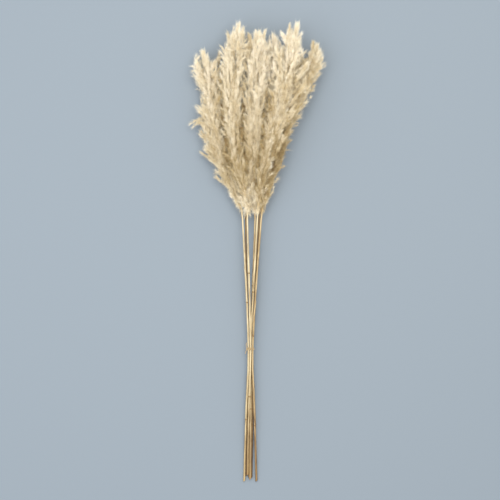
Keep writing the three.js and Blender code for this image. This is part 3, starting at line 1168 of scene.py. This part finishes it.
    def build(self, silk: bpy.types.Material, fibre: bpy.types.Material) -> None:
        """Makes the plume's pieces: its fluff in two halves, and the branched panicle inside it.

        Args:
            silk: the hairs' material.
            fibre: the branches' material.
        """
        main = self.main_branches()
        furred = main.with_more(self.side_branches(main)).with_more(self.foot_branches())
        furred = furred.with_more(self.crown_branches())
        if self.wisps:
            furred = furred.with_more(self.wisp_branches())
        for half in ("first", "second"):
            fluff = make_piece(f"{self.name}_fluff_{half}", self.hair_skin(furred), silk)
            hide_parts(self.name)
        branches = make_piece(self.name + "_panicle", self.panicle_skin(furred), fibre)
        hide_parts(self.name)

    def panicle_skin(self, strands: Strands) -> Skin:
        """The branches and the axis that bears them.

        A branch is 0.45 mm in radius at its foot for 120 mm of length, in proportion and within limits,
        and a fifth of that at its tip. The axis narrows evenly.
        """
        t = np.linspace(0, 1, self.points)[::2]
        thick = strands.lengths[:, None] / 0.12 * 0.45 * MM * (1 - 0.8 * t)
        tint = np.clip(strands.tint[:, None] - 0.3 + 0.4 * t, 0, 1)
        bones = self.settled_flat(strands.paths[:, ::2])
        panicle = tubes(bones, np.clip(thick, *self.branch_radius), 3, tint)
        rings = 40
        share = np.linspace(-0.004, 0.88, rings)
        axis = self.envelope.point(share, np.zeros(rings), np.zeros(rings))
        radius = np.interp(share, [0, 1], self.axis_radius)
        return panicle.joined(tubes(axis[None], radius[None], 8, np.full((1, rings), 0.5)))


# ---- Twine ------------------------------------------------------------------------------------------


@dataclass
class TwineTie:
    """Three drawn-tight turns of two-ply jute round the stems, knotted, with two short tails."""

    lines: list[MiddleLine]
    turns: int = 3
    lead: float = 1.75 * MM  # that each turn climbs
    radius: float = 0.8 * MM
    clearance: float = 0.35 * MM  # from the stems, for their lips and waves
    knot_side: float = 5 * np.pi / 6  # direction across the bundle, to its upper left
    ply_lay: float = 3.6 * MM  # along the twine for each turn of its plies
    knot_scale_mm: tuple[float, float, float] = (0.55, 0.95, 0.62)
    knot_off: float = 0.9 * MM  # from the turns
    fuzz_ends: int = 500
    # The tails' places from the knot, in mm.
    upper_tail: tuple[tuple[float, float, float], ...] = (
        (0, 0, 0),
        (-1.2, 5, 0.6),
        (-1.6, 10, -0.4),
        (-1, 15, -2.2),
    )
    lower_tail: tuple[tuple[float, float, float], ...] = (
        (0, 0, 0),
        (-1.8, -4, 0.2),
        (-3, -8, -1.4),
        (-3.4, -11.5, -4.2),
    )

    @property
    def level(self) -> float:
        """Y of the middle of the turns: it parts the solid's height as the two tails part theirs."""
        low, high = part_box("twine_tie")
        up, down = self.upper_tail[-1][1], self.lower_tail[-1][1]
        return float(low[1] + (high[1] - low[1]) * -down / (up - down))

    def plied(self, path: Array, rings: int) -> Skin:
        """Twine along a path: two plies, each a helix round the path on opposite sides.

        Args:
            path: (points, 3) the twine's middle.
            rings: how many it has along it.

        Returns:
            Both plies as one skin.
        """
        gone = np.concatenate([[0], np.cumsum(np.linalg.norm(np.diff(path, axis=0), axis=1))])
        even = np.linspace(0, gone[-1], rings)
        middle = np.stack([np.interp(even, gone, path[:, k]) for k in range(3)], -1)
        ahead = unit(np.gradient(middle, axis=0))
        across = square_to(np.broadcast_to([0.0, 1.0, 0.1], ahead.shape), ahead)
        up = np.cross(ahead, across)
        phase = 2 * np.pi * even / self.ply_lay + np.array([[0.0], [np.pi]])
        round_it = np.cos(phase)[..., None] * across + np.sin(phase)[..., None] * up
        # Each ply is a little over half as thick as the twine, so that the two press together.
        plies = middle + 0.46 * self.radius * round_it
        thick = np.full(plies.shape[:2], 0.56 * self.radius)
        return tubes(plies, thick, 7, np.full(plies.shape[:2], AROUND))

    def tight_turns(self, middles: Array, held: float) -> Array:
        """The path of the turns.

        In each direction the twine's middle lies on the stem that reaches furthest that way, off its
        middle by the stem's radius, the clearance and its own radius. It climbs evenly.

        Args:
            middles: (stems, 2) X and Z of the stems at the tie.
            held: the stems' radius there.

        Returns:
            (points, 3) the path.
        """
        share = np.linspace(0, 1, 360)
        turn = self.knot_side + np.linspace(0, 2 * np.pi * self.turns, len(share))
        way = np.stack([np.cos(turn), np.sin(turn)], -1)
        furthest = middles[np.argmax(way @ middles.T, axis=1)]
        flat = furthest + (held + self.clearance + self.radius) * way
        climb = (share - 0.5) * self.lead * self.turns
        return np.stack([flat[:, 0], self.level + climb, flat[:, 1]], -1)

    def knot_path(self, middle: Array) -> Array:
        """A trefoil: sine of t plus twice that of 2t, cosine of t less twice that of 2t, sine of 3t."""
        t = np.linspace(0, 2 * np.pi, 90)
        loop = np.stack(
            [-np.sin(3 * t), np.sin(t) + 2 * np.sin(2 * t), np.cos(t) - 2 * np.cos(2 * t)], -1
        )
        return middle + loop * np.array(self.knot_scale_mm) * MM

    def build(self, finish: bpy.types.Material) -> bpy.types.Object:
        """Makes the tie."""
        middles = np.array([line.at(np.array(self.level))[[0, 2]] for line in self.lines])
        held = float(np.interp(self.level, self.lines[0].levels, self.lines[0].radius))
        turns = self.tight_turns(middles, held)
        skin = self.plied(turns, rings=620)
        out = np.array([np.cos(self.knot_side), 0, np.sin(self.knot_side)])
        knot = (turns[0] + turns[-1]) / 2 + self.knot_off * out
        skin = skin.joined(self.plied(self.knot_path(knot), rings=150))
        for tail in (self.upper_tail, self.lower_tail):
            # A tail is the cubic curve through its four places.
            cubic = np.polyfit([0, 1 / 3, 2 / 3, 1], np.array(tail) * MM, 3)
            t = np.linspace(0, 1, 30)
            bend = np.stack([np.polyval(terms, t) for terms in cubic.T], -1)
            skin = skin.joined(self.plied(knot + bend, rings=60))
        skin = skin.joined(self.fuzz(turns))
        piece = make_piece("twine_tie_plied", skin, finish)
        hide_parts("twine_tie")
        return piece

    def fuzz(self, path: Array) -> Skin:
        """Loose fibre ends that stand off the twine in every direction."""
        rng, count = np.random.default_rng(5), self.fuzz_ends
        root = path[rng.integers(0, len(path), count)]
        way = unit(rng.normal(size=(count, 3)))
        length = rng.uniform(1.0, 2.4, count) * MM
        side = square_to(rng.normal(size=(count, 3)), way)
        radius = np.full(count, 0.05 * MM)
        return spikes(root, way * length[:, None], side, radius, np.full(count, 0.7))


# ---- Floor, light and camera ------------------------------------------------------------------------


@dataclass(frozen=True)
class Studio:
    """A plain floor, soft light from the upper right and a camera that looks straight down."""

    frame_height: float = 1.19  # of the floor, that the frame shows
    aim: tuple[float, float] = (-17.9 * MM, 5.2 * MM)  # the frame's middle on the floor
    level: float = 35 * MM  # the height at which the frame is that tall
    lens_mm: float = 135.0
    sensor_mm: float = 36.0
    lit_place: tuple[float, float, float] = (0.0, 0.25, 0.05)  # among the plumes, that lamps face
    floor_width: float = 12.0
    floor_gap: float = 0.2 * MM  # under what lies on it

    def floor(self) -> None:
        """A wide flat sheet, a hair below 0."""
        half = self.floor_width / 2
        mesh = bpy.data.meshes.new("floor")
        corners = [(-half, -half), (half, -half), (half, half), (-half, half)]
        mesh.from_pydata([(x, y, -self.floor_gap) for x, y in corners], [], [(0, 1, 2, 3)])
        mesh.materials.append(PaintedFloor().build())
        sheet = bpy.data.objects.new("floor", mesh)
        bpy.context.scene.collection.objects.link(sheet)

    def lamp(
        self, name: str, place: tuple[float, float, float], size: float, watts: float, colour: str
    ) -> None:
        """Adds a square soft lamp that faces the plumes.

        Args:
            name: its name.
            place: where it hangs.
            size: its width.
            watts: its power.
            colour: its sRGB colour.
        """
        data = bpy.data.lights.new(name, "AREA")
        data.size = size
        data.energy = watts
        data.color = linear(colour)[:3]
        lamp = bpy.data.objects.new(name, data)
        lamp.location = place
        aim = Vector(self.lit_place) - Vector(place)
        lamp.rotation_euler = aim.to_track_quat("-Z", "Y").to_euler()
        lamp.visible_camera = False
        bpy.context.scene.collection.objects.link(lamp)

    def light(self) -> None:
        """A large key lamp, a weak fill across from it and an even pale sky."""
        self.lamp("key", (0.25, 0.8, 3.1), size=2.8, watts=116.0, colour="fffaf2")
        self.lamp("fill", (-1.8, -0.4, 2.4), size=2.2, watts=30.0, colour="f8f9ff")
        world = bpy.data.worlds.new("even_sky")
        world.use_nodes = True
        tree = world.node_tree
        tree.nodes.clear()
        sky = add_node(
            tree, "ShaderNodeBackground", inputs={"Color": linear("f6f7f8"), "Strength": 1.0}
        )
        add_node(tree, "ShaderNodeOutputWorld", inputs={"Surface": sky.outputs["Background"]})
        bpy.context.scene.world = world

    def camera(self) -> None:
        """Looks straight down, with the plumes at the top of the frame."""
        data = bpy.data.cameras.new("camera")
        data.lens = self.lens_mm
        data.sensor_width = self.sensor_mm
        height = self.level + self.frame_height * self.lens_mm / self.sensor_mm
        camera = bpy.data.objects.new("camera", data)
        camera.location = (*self.aim, height)
        bpy.context.scene.collection.objects.link(camera)
        bpy.context.scene.camera = camera

    def build(self) -> None:
        """Sets the stage."""
        self.floor()
        self.light()
        self.camera()
        bpy.context.scene.view_settings.view_transform = "Standard"


# ---- The bundle -------------------------------------------------------------------------------------


class Rind(Enum):
    """The stems' finishes: three as each has dried, and a darker one whose colour is painted shade."""

    CLEAN = DryStraw("dry_straw_rind_clean", foot="e8dcc4")
    PALE = DryStraw("dry_straw_rind_pale")
    TAN = DryStraw("dry_straw_rind_tan", light="c2ad83", middle="9c8256", dark="664e2a")
    # Painted shade: the two stems that lie lowest, behind the others, get this darker rind to stand for
    # the shade they lie in.
    WEATHERED = DryStraw("dry_straw_rind_weathered", light="8d7248", middle="6a5230", dark="46341a")


STEM_SEED = 31  # of the first stem, with the others counted on from it
STALKS = {  # each with the finish of its stem
    "far_left": Rind.CLEAN,
    "left": Rind.PALE,
    "centre_left": Rind.WEATHERED,
    "centre": Rind.TAN,
    "centre_right": Rind.PALE,
    "back_right": Rind.WEATHERED,
    "right": Rind.TAN,
}


def plumes() -> list[Plume]:
    """The seven plumes, each with its own carriage, tone, wisps and bulges."""
    return [
        Plume(
            "plume_far_left",
            seed=11,
            carriage=Carriage.NODDING,
            margin=8 * MM,
            wisps=(
                Wisp(0.57, 180, 44, fork=108, curl=24, twigs=4),
                Wisp(0.53, 178, 22, fork=70, curl=20, twigs=4),
                Wisp(0.44, 180, 20, fork=50, curl=20),
                Wisp(0.32, 180, 30, fork=40, curl=20, twigs=8),
                Wisp(0.27, 180, 32, fork=40, curl=20, twigs=8),
                Wisp(0.2, 180, 18, fork=20, curl=15, twigs=4),
                Wisp(0.9, 0, 30, fork=8, curl=5, twigs=6),
            ),
            bulges=(
                Bulge(0.6, 1.1, 0, 14),
                Bulge(0.02, 0.3, 180, 2),
                Bulge(0.58, 0.86, 180, -4),
            ),
        ),
        Plume(
            "plume_left",
            seed=12,
            tone_and_shade=-0.01,
            crowd_shade=0.6,
            tip_crowd_shade=0.4,
            fringe=17 * MM,
            top=0.96,
            wisps=(Wisp(0.88, 180, 30, fork=12, curl=6, twigs=4),),
            bulges=(Bulge(0.3, 1.0, -40, 8),),
        ),
        Plume(
            "plume_centre_left",
            seed=13,
            tone_and_shade=0.03,
            crowd_shade=0.5,
            tip_crowd_shade=0.4,
            fringe=20 * MM,
            wisps=(
                Wisp(0.9, 165, 38, fork=12, curl=6, twigs=8),
                Wisp(0.92, 20, 34, fork=8, curl=6, twigs=6),
            ),
            bulges=(Bulge(0.25, 0.98, 212, 16),),
        ),
        Plume(
            "plume_centre",
            seed=14,
            tone_and_shade=0.15,
            tip_paling=0.55,
            crowd_shade=0.26,
            tip_crowd_shade=0.1,
            blotch=0.04,
            wisps=(
                Wisp(0.3, 50, 62, fork=24, curl=14, twigs=10, tint=0.8),
                Wisp(0.5, 40, 66, fork=26, curl=14, twigs=10, tint=0.85),
                Wisp(0.62, 120, 60, fork=20, curl=14, twigs=8, tint=0.85),
            ),
            bulges=(Bulge(0.55, 0.98, 5, 12), Bulge(0.55, 0.95, 90, 12)),
        ),
        Plume(
            "plume_centre_right",
            seed=15,
            tone_and_shade=-0.06,
            tip_paling=0.7,
            crowd_shade=0.42,
            tip_crowd_shade=0.2,
            blotch=0.07,
            top=0.92,
            wisps=(
                Wisp(0.86, 165, 54, fork=-10, curl=-4, twigs=6),
                Wisp(0.88, 0, 14, fork=40, curl=20, twigs=2),
                Wisp(0.3, 20, 62, fork=38, curl=-8, twigs=10, tint=0.6),
                Wisp(0.42, 25, 70, fork=40, curl=-8, twigs=12, tint=0.6),
                Wisp(0.54, 22, 72, fork=42, curl=-6, twigs=11, tint=0.66),
                Wisp(0.66, 20, 60, fork=38, curl=-6, twigs=10, tint=0.9),
            ),
            bulges=(
                Bulge(0.74, 1.06, 180, 8),
                Bulge(0.5, 0.86, 200, 10),
                Bulge(0.45, 0.8, 0, 8),
                Bulge(0.8, 1.06, 0, -6),
            ),
        ),
        Plume(
            "plume_back_right",
            seed=16,
            # Painted shade in part: it lies low in the dark hollow between its neighbours.
            tone_and_shade=-0.14,
            margin=10 * MM,
            top=0.87,
            crown=(0.85, 0.89),
            wisps=(Wisp(0.14, 0, 14, fork=30, curl=15, twigs=4),),
            bulges=(Bulge(0.0, 0.65, 0, -4),),
        ),
        Plume(
            "plume_right",
            seed=17,
            # Painted shade in part: it is the plume on the shaded right of the bundle.
            tone_and_shade=-0.19,
            tip_paling=0.6,
            crowd_shade=0.5,
            tip_crowd_shade=0.4,
            blotch=0.05,
            margin=12.5 * MM,
            wisps=(
                Wisp(0.1, 0, 16, fork=30, curl=15, twigs=5),
                Wisp(0.93, 110, 26, fork=4, curl=2, twigs=5),
            ),
            bulges=(Bulge(0.84, 1.12, 180, -9), Bulge(0.0, 0.75, 0, -4)),
        ),
    ]


def main() -> None:
    """Builds the stage, the stems, the plumes and the tie."""
    logging.basicConfig(level=logging.INFO, format="%(name)s %(message)s")
    Studio().build()
    stems = [Stem("stem_" + stalk, STEM_SEED + i) for i, stalk in enumerate(STALKS)]
    lines = [stem.line for stem in stems]
    tie = TwineTie(lines)
    middle = np.mean([line.at(np.array(tie.level))[[0, 2]] for line in lines], axis=0)
    rinds = {rind: rind.value.build() for rind in Rind}
    for stem in stems:
        stem.build(rinds[STALKS[stem.name.removeprefix("stem_")]], middle)
    silk = PampasSilk().build()
    fibre = PanicleFibre().build()
    heads = plumes()
    for head in heads:
        head.neighbours = [Envelope.of_node(other.name, 0) for other in heads if other is not head]
        head.build(silk, fibre)
    tie.build(JuteTwine().build())
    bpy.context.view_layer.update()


if __name__ == "__main__":
    main()
